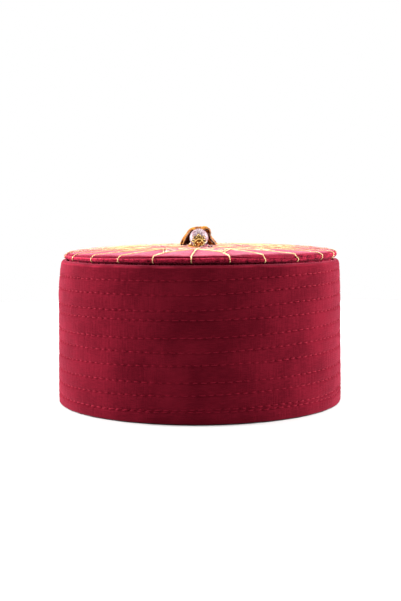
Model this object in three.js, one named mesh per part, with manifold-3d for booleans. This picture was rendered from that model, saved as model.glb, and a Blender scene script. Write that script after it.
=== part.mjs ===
// An imam hat: a quilted cotton band, a padded velour crown and a short silk tassel whose head is
// a glass bead with a gold cap. Millimetres, +Z up, front towards -Y, and the origin in the middle
// of the rim that the hat stands on.
import * as THREE from 'three';
import { mergeVertices } from 'three/addons/utils/BufferGeometryUtils.js';
import Module from 'manifold-3d';

const wasm = await Module();
wasm.setup();

// Driving dimensions.
const GAP = 0.3;                // air between neighbouring pieces
const SEGMENTS = 64;            // facets round the band and the crown
const WALL = 3.2;               // quilted cotton over its stiffening
const BAND_HEIGHT = 98;
const LEAN = 0.008;             // the crown sits out of level: rise for each millimetre towards +X
const QUILT_DEPTH = 0.5;        // how deep the quilting seam draws into the band
const CROWN_RADIUS = 91.6;      // at the roll
const SHOULDER_RADIUS = 88.5;   // where the crown's roll turns into its top
const SHOULDER_HEIGHT = 103.1;
const DOME_RISE = 3.4;          // of the crown's middle over its shoulder, before the dip
const DIP_DEPTH = 1.5;          // where the tassel is sewn on
const DIP_SPREAD = 30;
const PADDING = 4.6;            // thickness of the crown
const BEAD_RADIUS = 6.2;
const BEAD_CENTRE = new THREE.Vector3(-0.3, -15, 111.95);
const BEAD_TILT = 29;           // degrees that the bead's axis points below level, to the front
const CORD_RADIUS = 0.5;
const BORE_RADIUS = CORD_RADIUS + GAP;

// Outer radius of the band at each height.
const BAND_PROFILE = [
  { height: 0.5, radius: 95.6 },
  { height: 3, radius: 96.0 },
  { height: 10, radius: 96.1 },
  { height: 50, radius: 95.7 },
  { height: 85, radius: 95.2 },
  { height: 90, radius: 94.8 },
  { height: 94, radius: 94.2 },
  { height: 97, radius: 93.4 },
];

// The quilting is one seam that climbs round the band. Its height where each turn passes the front:
const SEAM_AT_FRONT = [10.5, 19, 27, 37.5, 46, 54.5, 65, 71.5, 81, 89.5];
const SEAM_START = 8.7;         // the first turn starts level, half a turn before the front

// The locks of the tassel. The bearing is in degrees from straight back, positive to the right.
// "out" is the distance from the neck and "up" the height over the crown, at the lock's shoulder
// and waist, and at its tip the lock lies on the crown.
const LOCKS = [
  { bearing: -95, shoulderOut: 4.4, shoulderUp: 11.5, waistOut: 8.3, waistUp: 6.4, tipOut: 11.3, width: 5.6 },
  { bearing: -68, shoulderOut: 4.4, shoulderUp: 12.3, waistOut: 8.8, waistUp: 7.4, tipOut: 12.8, width: 6.4 },
  { bearing: -38, shoulderOut: 4.2, shoulderUp: 13.1, waistOut: 9.4, waistUp: 8.2, tipOut: 15.4, width: 6.6 },
  { bearing: -8, shoulderOut: 4.0, shoulderUp: 13.6, waistOut: 10.0, waistUp: 8.6, tipOut: 18.2, width: 6.8 },
  { bearing: 22, shoulderOut: 4.2, shoulderUp: 13.6, waistOut: 9.4, waistUp: 8.4, tipOut: 16.4, width: 6.6 },
  { bearing: 52, shoulderOut: 4.6, shoulderUp: 13.4, waistOut: 7.6, waistUp: 7.4, tipOut: 13.0, width: 6.2 },
  { bearing: 84, shoulderOut: 5.1, shoulderUp: 12.4, waistOut: 6.5, waistUp: 6.0, tipOut: 10.8, width: 5.4 },
];
const LOCK_THICKNESS = 2.8;
const LOCK_TIP_THICKNESS = 1.7;
const LOCK_TIP_UP = 0.95;                     // middle of a tip over the crown
const LOCK_SIDES = 8;
const LOCK_STEPS = 7;

const NECK_FRONT = -(BEAD_RADIUS + GAP);      // along the bead's axis, from the bead's middle
const NECK_LENGTH = 3.2;
const NECK_RADIUS = 2.7;

// The cap on the bead: wire petals round a ring, a cup in the ring and a small bead in the cup.
const PETALS = 8;
const PETAL_REACH = 3.7;                      // from the bead's axis to the wire at a petal's tip
const PETAL_HALF_WIDTH = 0.65;
const WIRE_RADIUS = 0.3;
const RING_RADIUS = 1.6;
const CUP_RADIUS = 2.3;
const CUP_DEPTH = 1.4;
const SMALL_BEAD_RADIUS = 1.3;

const cotton = new THREE.MeshStandardMaterial({ color: 0x8c1d31, roughness: 0.5 });
const velour = new THREE.MeshStandardMaterial({ color: 0xa81b43, roughness: 0.95 });
const silk = new THREE.MeshStandardMaterial({ color: 0xd9822b, roughness: 0.45 });
const glass = new THREE.MeshStandardMaterial({ color: 0xe9dfe8, roughness: 0.12 });
const gilt = new THREE.MeshStandardMaterial({ color: 0xdca93c, roughness: 0.3, metalness: 1 });

// Straight-line reading of a table, between its rows and on past its ends.
function read(rows, key, value, at) {
  let i = 1;
  while (i < rows.length - 1 && rows[i][key] < at) {
    i += 1;
  }
  const [low, high] = [rows[i - 1], rows[i]];
  const share = (at - low[key]) / (high[key] - low[key]);
  return low[value] + (high[value] - low[value]) * share;
}

function meshGeometry(points, faces) {
  const geometry = new THREE.BufferGeometry();
  geometry.setAttribute('position', new THREE.Float32BufferAttribute(points.flat(), 3));
  geometry.setIndex(faces.flat());
  return geometry;
}

// A closed skin over rings of points. The last ring joins the first, or else both ends are capped.
function skin(rings, joined) {
  const sides = rings[0].length;
  const faces = [];
  const last = joined ? rings.length : rings.length - 1;
  for (let r = 0; r < last; r += 1) {
    const near = r * sides;
    const far = ((r + 1) % rings.length) * sides;
    for (let s = 0; s < sides; s += 1) {
      const t = (s + 1) % sides;
      faces.push([near + s, near + t, far + t], [near + s, far + t, far + s]);
    }
  }
  if (!joined) {
    const end = (rings.length - 1) * sides;
    for (let s = 1; s < sides - 1; s += 1) {
      faces.push([0, s + 1, s], [end, end + s, end + s + 1]);
    }
  }
  return meshGeometry(rings.flat(), faces);
}

// A flattened round section, seen along the way the skin runs.
function section(centre, across, up, width, thickness, sides) {
  return Array.from({ length: sides }, (_, s) => {
    const turn = (2 * Math.PI * s) / sides;
    return centre.clone()
      .addScaledVector(across, (Math.cos(turn) * width) / 2)
      .addScaledVector(up, (Math.sin(turn) * thickness) / 2)
      .toArray();
  });
}

// A body of revolution about Z from rows of [radius, height].
function turned(profile, segments) {
  const points = profile.map(([radius, height]) => new THREE.Vector2(radius, height));
  return new THREE.LatheGeometry(points, segments).rotateX(Math.PI / 2);
}

function solid(geometry) {
  const bare = new THREE.BufferGeometry();
  bare.setAttribute('position', geometry.getAttribute('position').clone());
  bare.setIndex(geometry.index);
  const merged = mergeVertices(bare, 1e-4);
  return new wasm.Manifold(new wasm.Mesh({
    numProp: 3,
    vertProperties: Float32Array.from(merged.getAttribute('position').array),
    triVerts: Uint32Array.from(merged.index.array),
  }));
}

function geometryOf(body) {
  const mesh = body.getMesh();
  const geometry = new THREE.BufferGeometry();
  geometry.setAttribute('position', new THREE.Float32BufferAttribute(mesh.vertProperties, 3));
  geometry.setIndex(Array.from(mesh.triVerts));
  return geometry;
}

function piece(name, geometry, material) {
  const mesh = new THREE.Mesh(geometry, material);
  mesh.name = name;
  return mesh;
}

// The band and the crown lean together, more the higher a point is.
function lean(x, z) {
  return z + (LEAN * x * z) / BAND_HEIGHT;
}

function leanAll(geometry) {
  const position = geometry.getAttribute('position');
  for (let i = 0; i < position.count; i += 1) {
    position.setZ(i, lean(position.getX(i), position.getZ(i)));
  }
  return geometry;
}

// Height of the crown's top over the table, before the lean.
function crownTop(radius) {
  const dome = DOME_RISE * (1 - (radius / SHOULDER_RADIUS) ** 2);
  return SHOULDER_HEIGHT + dome - DIP_DEPTH * Math.exp(-((radius / DIP_SPREAD) ** 2));
}

// Height of the quilting seam after a number of turns from the back of the hat.
function seamHeight(turns) {
  const rows = SEAM_AT_FRONT.map((height, row) => ({ turns: row + 0.5, height }));
  return read([{ turns: -0.5, height: SEAM_START }, ...rows], 'turns', 'height', turns);
}

// The band is a ring of rows of points. The rows of the quilted part climb with the seam, three to
// a turn: one in the seam and two on the swell over it. So each row, once round, meets the third
// row above it.
function bandGeometry() {
  const points = [];
  const faces = [];
  const perTurn = 3;
  const lastRow = (SEAM_AT_FRONT.length - 1) * perTurn;

  // Points run counterclockwise from the back of the hat.
  function place(column, radius, height) {
    const angle = Math.PI / 2 + (2 * Math.PI * column) / SEGMENTS;
    const x = radius * Math.cos(angle);
    points.push([x, radius * Math.sin(angle), lean(x, height)]);
    return points.length - 1;
  }

  function levelRow(radius, height) {
    const row = Array.from({ length: SEGMENTS }, (_, column) => place(column, radius, height));
    return [...row, row[0]];
  }

  function quiltPoint(row, column) {
    const turns = Math.floor(row / perTurn) + column / SEGMENTS;
    const share = (row % perTurn) / perTurn;
    const height = seamHeight(turns) * (1 - share) + seamHeight(turns + 1) * share;
    const inSeam = share === 0 ? QUILT_DEPTH : 0;
    return place(column, read(BAND_PROFILE, 'height', 'radius', height) - inSeam, height);
  }

  function join(low, high, from = 0, to = SEGMENTS) {
    for (let i = from; i < to; i += 1) {
      faces.push([low[i], low[i + 1], high[i + 1]], [low[i], high[i + 1], high[i]]);
    }
  }

  function fan(hub, edge) {
    for (let i = 0; i < edge.length - 1; i += 1) {
      faces.push([hub, edge[i], edge[i + 1]]);
    }
  }

  const quilt = [];
  for (let row = 0; row <= lastRow; row += 1) {
    quilt.push(Array.from({ length: SEGMENTS }, (_, column) => quiltPoint(row, column)));
  }
  quilt.forEach((row, index) => {
    const above = quilt[index + perTurn];
    row.push(above ? above[0] : quiltPoint(index, SEGMENTS));
  });
  for (let row = 0; row < lastRow; row += 1) {
    join(quilt[row], quilt[row + 1]);
  }

  const outer = BAND_PROFILE.map(({ height, radius }) => [radius, height]);
  const rim = outer.slice(0, 2);
  const fold = outer.slice(-1);
  const inner = outer.slice(2).reverse().map(([radius, height]) => [radius - WALL, height - 1]);
  const level = [
    [94.2, 95],
    ...fold,
    [92.2, BAND_HEIGHT],
    [89.2, BAND_HEIGHT],
    ...inner,
    [92.9, 0.5],
    [93.3, 0],
    [95.1, 0],
    ...rim,
  ].map(([radius, height]) => levelRow(radius, height));
  for (let i = 0; i < level.length - 1; i += 1) {
    join(level[i], level[i + 1]);
  }

  const [top, bottom] = [level[0], level[level.length - 1]];
  const first = quilt[0];
  const final = quilt[lastRow];
  join(bottom, first, 0, SEGMENTS - 1);
  fan(first[SEGMENTS - 1], [
    bottom[SEGMENTS - 1],
    bottom[0],
    ...quilt.slice(0, perTurn + 1).map((row) => row[0]),
  ]);
  join(final, top, 1);
  fan(final[1], [
    top[1],
    top[0],
    ...quilt.slice(-perTurn).reverse().map((row) => row[SEGMENTS]),
    final[0],
  ]);
  return meshGeometry(points, faces);
}

// The crown stands on the band's fold with a roll that swells past it, and the roll ends in a crease.
function crownGeometry() {
  const foot = BAND_HEIGHT + GAP;
  const under = [0, 40, 75].map((radius) => [radius, crownTop(radius) - PADDING]);
  const roll = [
    [86, foot],
    [89.8, foot],
    [91.1, foot + 0.6],
    [CROWN_RADIUS, foot + 1.8],
    [91.3, foot + 3.0],
    [90.7, foot + 3.7],
    [90.0, foot + 4.4],
  ];
  const top = [SHOULDER_RADIUS, 82, 70, 56, 44, 32, 20, 10, 0]
    .map((radius) => [radius, crownTop(radius)]);
  return leanAll(turned([...under, ...roll, ...top], SEGMENTS));
}

// The tassel's head has its own frame: Z runs along the bead's axis, out at the front.
const head = new THREE.Group();
head.position.copy(BEAD_CENTRE);
head.rotation.x = Math.PI / 2 + THREE.MathUtils.degToRad(BEAD_TILT);
head.updateMatrix();

function beadGeometry() {
  const arcs = 10;
  const edge = Math.asin(BORE_RADIUS / BEAD_RADIUS);
  const profile = Array.from({ length: arcs + 1 }, (_, i) => {
    const polar = Math.PI - edge - ((Math.PI - 2 * edge) * i) / arcs;
    return [BEAD_RADIUS * Math.sin(polar), BEAD_RADIUS * Math.cos(polar)];
  });
  return turned([...profile, profile[0]], 20);
}

// One wire petal: a loop that lies on the bead, from the ring out to its tip and back.
function petalGeometry(index) {
  const steps = 10;
  const over = BEAD_RADIUS + GAP + WIRE_RADIUS;
  const middle = (PETAL_REACH + RING_RADIUS) / 2;
  const halfLength = (PETAL_REACH - RING_RADIUS) / 2;
  const directions = Array.from({ length: steps }, (_, step) => {
    const turn = (2 * Math.PI * step) / steps;
    const reach = middle - halfLength * Math.cos(turn);
    const swing = (2 * Math.PI * index) / PETALS + (PETAL_HALF_WIDTH * Math.sin(turn)) / middle;
    const height = Math.sqrt(over ** 2 - reach ** 2);
    return new THREE.Vector3(reach * Math.cos(swing), reach * Math.sin(swing), height).normalize();
  });
  const rings = directions.map((out, step) => {
    const ahead = directions[(step + 1) % steps];
    const behind = directions[(step + steps - 1) % steps];
    const side = new THREE.Vector3().crossVectors(out, ahead.clone().sub(behind)).normalize();
    const centre = out.clone().multiplyScalar(over);
    return section(centre, side, out, 2 * WIRE_RADIUS, 2 * WIRE_RADIUS, 5);
  });
  return skin(rings, true);
}

function capGeometry() {
  const seat = BEAD_RADIUS + GAP;
  const floor = seat + 0.9;
  const mouth = floor + CUP_DEPTH - 0.4;
  const cup = turned([
    [BORE_RADIUS, seat],
    [RING_RADIUS + 0.4, seat],
    [CUP_RADIUS, floor],
    [CUP_RADIUS, mouth],
    [CUP_RADIUS - 0.4, mouth],
    [CUP_RADIUS - 0.5, floor + 0.3],
    [BORE_RADIUS, floor + 0.1],
    [BORE_RADIUS, seat],
  ], 16);
  const middle = floor + SMALL_BEAD_RADIUS - 0.4;
  const smallBead = turned([
    [BORE_RADIUS, middle - 1],
    [1, middle - 0.9],
    [SMALL_BEAD_RADIUS, middle],
    [1, middle + 0.7],
    [BORE_RADIUS, middle + 0.8],
    [BORE_RADIUS, middle - 1],
  ], 12);
  let cap = solid(cup).add(solid(smallBead));
  for (let petal = 0; petal < PETALS; petal += 1) {
    cap = cap.add(solid(petalGeometry(petal)));
  }
  return geometryOf(cap);
}

// A lock of silk, from inside the neck to its tip on the crown.
function lockGeometry(lock) {
  const bearing = THREE.MathUtils.degToRad(lock.bearing);
  const out = new THREE.Vector3(Math.sin(bearing), Math.cos(bearing), 0);
  const across = new THREE.Vector3(out.y, -out.x, 0);
  const root = new THREE.Vector3(0, 0, NECK_FRONT - NECK_LENGTH + 1.2).applyMatrix4(head.matrix);

  function over(distance, up) {
    const point = root.clone().addScaledVector(out, distance);
    point.z = lean(point.x, crownTop(Math.hypot(point.x, point.y))) + up;
    return point;
  }

  const path = new THREE.CatmullRomCurve3([
    root,
    over(lock.shoulderOut, lock.shoulderUp),
    over(lock.waistOut, lock.waistUp),
    over(lock.tipOut, LOCK_TIP_UP),
  ]);
  const widths = [
    { share: 0, width: 0.5 * lock.width, thickness: 0.8 * LOCK_THICKNESS },
    { share: 0.35, width: 0.9 * lock.width, thickness: LOCK_THICKNESS },
    { share: 0.8, width: lock.width, thickness: LOCK_THICKNESS },
    { share: 1, width: 0.9 * lock.width, thickness: LOCK_TIP_THICKNESS },
  ];
  const rings = Array.from({ length: LOCK_STEPS + 1 }, (_, step) => {
    const share = step / LOCK_STEPS;
    const along = path.getTangentAt(share);
    const up = new THREE.Vector3().crossVectors(along, across).normalize();
    const width = read(widths, 'share', 'width', share);
    const thickness = read(widths, 'share', 'thickness', share);
    return section(path.getPointAt(share), across, up, width, thickness, LOCK_SIDES);
  });
  return skin(rings, false);
}

// The locks spring from a bound neck behind the bead. The cord ends in the neck's bore.
function skirtGeometry() {
  const back = NECK_FRONT - NECK_LENGTH;
  const neck = turned([
    [0, back],
    [NECK_RADIUS, back],
    [NECK_RADIUS + 0.2, back + NECK_LENGTH * 0.6],
    [NECK_RADIUS - 0.6, NECK_FRONT],
    [0, NECK_FRONT],
  ], 16).applyMatrix4(head.matrix);
  const bore = new THREE.CylinderGeometry(BORE_RADIUS, BORE_RADIUS, 2 * NECK_LENGTH, 12)
    .rotateX(Math.PI / 2).translate(0, 0, NECK_FRONT).applyMatrix4(head.matrix);
  let skirt = solid(neck);
  for (const lock of LOCKS) {
    skirt = skirt.add(solid(lockGeometry(lock)));
  }
  return geometryOf(skirt.subtract(solid(bore)));
}

// The cord runs through the bead and the cap, turns down to the crown in front of them, and goes
// back along the crown, under the locks, to the stitch in the crown's middle.
function cordGeometry() {
  const threaded = [
    new THREE.Vector3(0, 0, NECK_FRONT - NECK_LENGTH + GAP),
    new THREE.Vector3(0, 0, 0),
    new THREE.Vector3(0, 0, BEAD_RADIUS),
    new THREE.Vector3(0, 0, BEAD_RADIUS + 3.4),
  ].map((point) => point.applyMatrix4(head.matrix));
  const lying = [
    [-1.0, -25.6],
    [-3.0, -25.6],
    [-5.0, -21.5],
    [-6.4, -16],
    [-7.2, -10],
    [-6.8, -4],
    [-4.2, -0.5],
    [-0.6, 0],
  ].map(([x, y]) => {
    const onCrown = crownTop(Math.hypot(x, y)) + GAP + CORD_RADIUS;
    return new THREE.Vector3(x, y, lean(x, onCrown));
  });
  const path = new THREE.CatmullRomCurve3([...threaded, ...lying]);
  const round = new THREE.Shape().absarc(0, 0, CORD_RADIUS, 0, 2 * Math.PI);
  return new THREE.ExtrudeGeometry(round, { extrudePath: path, steps: 32, curveSegments: 4 });
}

head.add(piece('tassel_bead', beadGeometry(), glass));
head.add(piece('bead_cap', capGeometry(), gilt));

const hat = new THREE.Group();
hat.add(piece('band', bandGeometry(), cotton));
hat.add(piece('crown', crownGeometry(), velour));
hat.add(piece('tassel_skirt', skirtGeometry(), silk));
hat.add(piece('tassel_cord', cordGeometry(), silk));
hat.add(head);

export default hat;
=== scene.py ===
import math
import random

import bpy
import numpy as np
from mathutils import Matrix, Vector


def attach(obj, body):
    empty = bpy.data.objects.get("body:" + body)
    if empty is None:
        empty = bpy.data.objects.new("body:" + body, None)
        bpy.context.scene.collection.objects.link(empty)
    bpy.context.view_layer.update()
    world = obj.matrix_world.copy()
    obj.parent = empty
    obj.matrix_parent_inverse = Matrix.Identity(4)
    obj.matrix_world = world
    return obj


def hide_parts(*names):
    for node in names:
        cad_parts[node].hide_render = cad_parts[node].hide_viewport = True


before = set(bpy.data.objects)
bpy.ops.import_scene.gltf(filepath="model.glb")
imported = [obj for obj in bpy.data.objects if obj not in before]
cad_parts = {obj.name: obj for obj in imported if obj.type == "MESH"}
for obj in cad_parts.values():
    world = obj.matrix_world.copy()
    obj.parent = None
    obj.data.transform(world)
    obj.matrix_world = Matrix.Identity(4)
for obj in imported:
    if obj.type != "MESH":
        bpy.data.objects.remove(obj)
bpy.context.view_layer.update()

MM = 0.001


# The view and the studio. The hat stands on a plain pale table and is seen from just above its
# crown, between two square softboxes at its sides and under a wider one. None of this is the hat.
VIEW_DISTANCE = 760
VIEW_HEIGHT = 137.4
VIEW_ACROSS = 0.68
VIEW_DOWN = 5.27            # degrees below level
VIEW_ROLL = -0.32
LONG_SIDE = 601             # of the picture, which is 401 by 601
VIEW_SCALE = 1112           # of the lens: its focal length, in the same units as the long side

camera = bpy.data.objects.new("camera", bpy.data.cameras.new("camera"))
camera.data.lens = camera.data.sensor_width * VIEW_SCALE / LONG_SIDE
camera.location = Vector((VIEW_ACROSS, -VIEW_DISTANCE, VIEW_HEIGHT)) * MM
camera.rotation_mode = "ZYX"
camera.rotation_euler = (math.radians(90 - VIEW_DOWN), 0, math.radians(VIEW_ROLL))
bpy.context.collection.objects.link(camera)
bpy.context.scene.camera = camera
bpy.context.scene.view_settings.view_transform = "Standard"


def add(tree, kind, inputs=None, **settings):
    """A node with its settings, and a value, an output or a node at each named input."""
    made = tree.nodes.new(kind)
    for name, value in settings.items():
        setattr(made, name, value)
    for name, value in (inputs or {}).items():
        if isinstance(value, bpy.types.Node):
            value = value.outputs[0]
        if isinstance(value, bpy.types.NodeSocket):
            tree.links.new(value, made.inputs[name])
        else:
            made.inputs[name].default_value = value
    return made


def finish_of(name, shader):
    """A new material, its tree, and its Principled shader with these values."""
    material = bpy.data.materials.new(name)
    material.use_nodes = True
    tree = material.node_tree
    tree.nodes.clear()
    surface = add(tree, "ShaderNodeBsdfPrincipled", shader)
    add(tree, "ShaderNodeOutputMaterial", {"Surface": surface.outputs["BSDF"]})
    return material, tree, surface


HAT_MIDDLE = Vector((0, 0, 0.05))


def softbox(name, place, size, radiance):
    """A softbox at place, in metres, that faces the middle of the hat."""
    lamp = bpy.data.lights.new(name, "AREA")
    lamp.shape = "RECTANGLE"
    lamp.size, lamp.size_y = size
    lamp.energy = radiance * math.pi * size[0] * size[1]
    made = bpy.data.objects.new(name, lamp)
    made.location = place
    made.rotation_euler = (HAT_MIDDLE - Vector(place)).to_track_quat("-Z", "Y").to_euler()
    made.visible_camera = False
    bpy.context.collection.objects.link(made)


softbox("softbox_left", place=(-1.13, 0.25, 0.38), size=(0.8, 0.8), radiance=26)
softbox("softbox_right", place=(1.13, 0.25, 0.38), size=(0.8, 0.8), radiance=24.5)
softbox("softbox_top", place=(0, 0.15, 1.4), size=(1.5, 1.3), radiance=4.2)

ROOM_LIGHT = 0.32           # of the white room on the hat, less than the room itself shows
world = bpy.data.worlds.new("studio")
world.use_nodes = True
bpy.context.scene.world = world
room = world.node_tree
room.nodes.clear()
seen = add(room, "ShaderNodeBackground", {"Color": (1, 1, 1, 1), "Strength": 1.0})
lit = add(room, "ShaderNodeBackground", {"Color": (1, 1, 1, 1), "Strength": ROOM_LIGHT})
which = add(room, "ShaderNodeMixShader", {
    0: add(room, "ShaderNodeLightPath").outputs["Is Camera Ray"],
    1: lit,
    2: seen,
})
add(room, "ShaderNodeOutputWorld", {"Surface": which})

TABLE_SIDES = 96
TABLE_RADIUS = 0.75


def swings(count, closing=0):
    """Evenly spaced angles once round, with 1 more to close a line where it began."""
    return [math.tau * step / count for step in range(count + closing)]


table = bpy.data.meshes.new("table")
table.from_pydata(
    [(TABLE_RADIUS * math.cos(swing), TABLE_RADIUS * math.sin(swing), 0) for swing in swings(TABLE_SIDES)],
    [],
    [list(range(TABLE_SIDES))],
)
table_paint, _, _ = finish_of("table_paint", {
    "Base Color": (0.6, 0.6, 0.6, 1),
    "Roughness": 0.9,
    "Specular IOR Level": 0.1,
})
table.materials.append(table_paint)
table_top = bpy.data.objects.new("table_top", table)
bpy.context.collection.objects.link(table_top)


# The band is crimson satin cotton quilted over a stiff core and folded inward at the top and the
# rim. One seam climbs it ten times round and draws it in, and the padding swells between its turns.
WALL = 3.2
SEAM_DEPTH = 0.2            # how far the seam draws the cloth in,
SEAM_REACH = 1.3            # and over what distance from it
CREASE_DEPTH = 0.22         # of the sharp line just under the thread
NEEDLE_DEPTH = 0.5          # where the thread goes through
PADDING_SWELL = 0.07        # between two turns of the seam
PUCKERS = 0.14              # of the cloth along the seam
LUMPS = 0.14                # of the padding, over whole patches
RIM_CREASE = 0.18           # of the line over the turned-up rim
BAND_COLUMNS = 450
BAND_HEIGHTS = [0, 0.5, 3, 10, 50, 75, 85, 90, 94, 96, 98]
BAND_RADII = [96.2, 96.3, 96.65, 96.65, 96.1, 95.75, 95.5, 95.25, 95.0, 94.75, 94.4]
# The seam's height on the left flank, at the front and on the right flank of the lap it starts
# with, and then of each of its ten turns.
SEAM_ROWS = [
    (7.2, 8.1, 8.3), (7.4, 9.7, 10.4), (17, 18.4, 20.2), (25.6, 26.1, 27.2), (35.2, 36.8, 38.1),
    (44.1, 44.3, 46.9), (52.3, 53.3, 55.3), (63.6, 64.1, 64.8), (69.2, 70, 73.1), (79, 79.4, 81.9),
    (87.5, 88, 89.6),
]
FLANK = 40 / 360            # of a turn, from the front to either flank
SEAM_START = (-0.97, 8.0)   # turns from the back, and height
SEAM_END = (10, 93.4)
STITCH_PITCH = 5.3
SEAM_RADIUS = 96

seam_turns = [SEAM_START[0]]
seam_heights = [SEAM_START[1]]
for number, row in enumerate(SEAM_ROWS):
    seam_turns += [number - 0.5 + side * FLANK for side in (-1, 0, 1)]
    seam_heights += row
seam_turns = np.array([*seam_turns, SEAM_END[0]])
seam_heights = np.array([*seam_heights, SEAM_END[1]])

SUNK_FOOT = (0.65, 0.2, 0.9)    # of the crown: all round, more to the right, and more at both sides
SUNK_TOP = (0.3, -0.33, 1.2)
LEAN_IN = 1.1               # of the band's left side, under the crown


def ramp(value, start, end):
    """From 0 at the start to 1 at the end."""
    return np.clip((value - start) / (end - start), 0, 1)


def peak(off, spread):
    """From 1 in the middle to nearly 0 at twice the spread."""
    return np.exp(-(off / spread) ** 2)


def settled(x, z):
    """Height near the crown after long use: it has sunk, most of all at the left and the right."""
    across = x / 93
    foot = SUNK_FOOT[0] + SUNK_FOOT[1] * across + SUNK_FOOT[2] * across ** 2
    top = SUNK_TOP[0] + SUNK_TOP[1] * across + SUNK_TOP[2] * across ** 2
    return z - ramp(z, 90, 96) * (foot + (top - foot) * ramp(z, 98, 103))


def drawn_right(x, z):
    """The band's left side leans in a little under the crown."""
    return LEAN_IN * ramp(z, 78, 94) * ramp(x, 0, -96) ** 2


def ripple(turn, lowest, highest, seed):
    """Unevenness of about 1 either way round the hat, from waves that come round this often."""
    draw = random.Random(seed)
    total = 0
    for count in range(lowest, highest + 1):
        size = draw.uniform(0.3, 1)
        total = total + size * np.cos(math.tau * (count * turn + draw.random()))
    return total / math.sqrt(highest - lowest + 1)


def nearest_seam(turn, height):
    """Height over the nearest turn of the seam, and how far along the seam that is, in millimetres."""
    near = np.full(np.broadcast(turn, height).shape, 1e9)
    along = np.zeros_like(near)
    for lap in range(-1, 10):
        at = turn + lap
        off = height - np.interp(at, seam_turns, seam_heights)
        off = np.where(at < seam_turns[0], 1e9, off)
        closer = np.abs(off) < np.abs(near)
        near = np.where(closer, off, near)
        along = np.where(closer, at * math.tau * SEAM_RADIUS, along)
    return near, along


def band_radius(turn, height):
    """Radius of the band's outside, with its quilting, puckers and uneven padding."""
    over, along = nearest_seam(turn, height)
    off = np.abs(over)
    plain = np.interp(height, BAND_HEIGHTS, BAND_RADII)
    drawn_in = SEAM_DEPTH * np.exp(-(np.sqrt(off ** 2 + 0.16) - 0.4) / SEAM_REACH)
    crease = CREASE_DEPTH * peak(over + 0.4, 0.55)
    swell = PADDING_SWELL * (1 - np.exp(-off / 2.2))
    gap_share = 0.5 - 0.5 * np.cos(math.tau * along / STITCH_PITCH)
    tight = 1 - 0.35 * np.sin(math.tau * turn) ** 2
    needle = NEEDLE_DEPTH * tight * gap_share ** 3 * peak(over + 0.1, 0.8)
    pucker = PUCKERS * np.exp(-off / 2.6) * ripple(turn + 0.02 * height, 55, 75, 4)
    uneven = LUMPS * ripple(turn + 0.004 * height, 3, 9, 5) * np.sin(height / 17 + 6 * turn)
    uneven = uneven + 0.06 * ripple(turn - 0.01 * height, 12, 25, 12) * np.sin(height / 6 + 9 * turn)
    tuck = 0.16 * ramp(height, 90, 96) * ripple(turn, 14, 34, 6)
    rim = RIM_CREASE * peak(height - 3, 0.6)
    return plain - drawn_in - crease + swell - needle + pucker + uneven + tuck - rim


def skin_mesh(name, rows, poles=False, closed=False):
    """A mesh over rows of points, each closed round the hat. Its ends are single points, or meet."""
    rows = np.asarray(rows)
    count, columns = rows.shape[:2]
    points = rows.reshape(-1, 3)
    index = np.arange(count * columns).reshape(count, columns)
    if poles:
        index[0] = index[0, 0]
        index[-1] = index[-1, 0]
    if closed:
        index = np.vstack([index, index[:1]])
    low, high = index[:-1], index[1:]
    ahead = np.roll(index, -1, axis=1)
    quads = np.stack([low, ahead[:-1], ahead[1:], high], axis=-1).reshape(-1, 4)
    used = np.unique(quads)
    place = np.zeros(len(points), int)
    place[used] = np.arange(len(used))
    faces = [list(dict.fromkeys(quad)) for quad in place[quads].tolist()]
    mesh = bpy.data.meshes.new(name)
    mesh.from_pydata((points[used] * MM).tolist(), [], faces)
    mesh.shade_smooth()
    return mesh, used


def piece(name, mesh, *materials):
    """The finished object of a mesh."""
    made = bpy.data.objects.new(name, mesh)
    bpy.context.collection.objects.link(made)
    for material in materials:
        mesh.materials.append(material)
    return made


def mottle(tree, place, scale, detail=2, roughness=0.5):
    """Uneven patches between 0 and 1."""
    return add(tree, "ShaderNodeTexNoise", {
        "Vector": place, "Scale": scale, "Detail": detail, "Roughness": roughness,
    }).outputs["Fac"]


def combine(tree, how, first, second):
    """Two values added, multiplied or divided."""
    return add(tree, "ShaderNodeMath", {0: first, 1: second}, operation=how)


def share_of(tree, value, low, high):
    """How far a value has come from low to high, from 0 to 1."""
    return add(tree, "ShaderNodeMapRange", {
        "Value": value, "From Min": low, "From Max": high,
    }).outputs["Result"]


def between(tree, share, low, high):
    """A colour between two, each of them three numbers or a node's output."""
    low, high = (end if isinstance(end, bpy.types.NodeSocket) else (*end, 1) for end in (low, high))
    return add(tree, "ShaderNodeMix", {0: share, 6: low, 7: high}, data_type="RGBA").outputs[2]


def relief(tree, height, strength, depth):
    """A bump of this depth, in millimetres."""
    return add(tree, "ShaderNodeBump", {
        "Height": height, "Strength": strength, "Distance": depth * MM,
    })


def dress(tree, surface, colour, bump=None):
    """Gives a shader the colour and the bump that its nodes make."""
    tree.links.new(colour, surface.inputs["Base Color"])
    if bump:
        tree.links.new(bump.outputs[0], surface.inputs["Normal"])


def on_piece(tree):
    """Places in the piece's own frame, in metres."""
    return add(tree, "ShaderNodeTexCoord").outputs["Object"]


CRIMSON = (0.13, 0.0058, 0.014)
DEEP_CRIMSON = (0.085, 0.0035, 0.009)
# the paler crimson is a painted highlight, for the fold's ridge
HIGHLIGHT_CRIMSON = (0.46, 0.026, 0.06)
# painted shade, for the foot of the rim
RIM_SHADE_BROWN = (0.012, 0.0015, 0.0025, 1)
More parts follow.
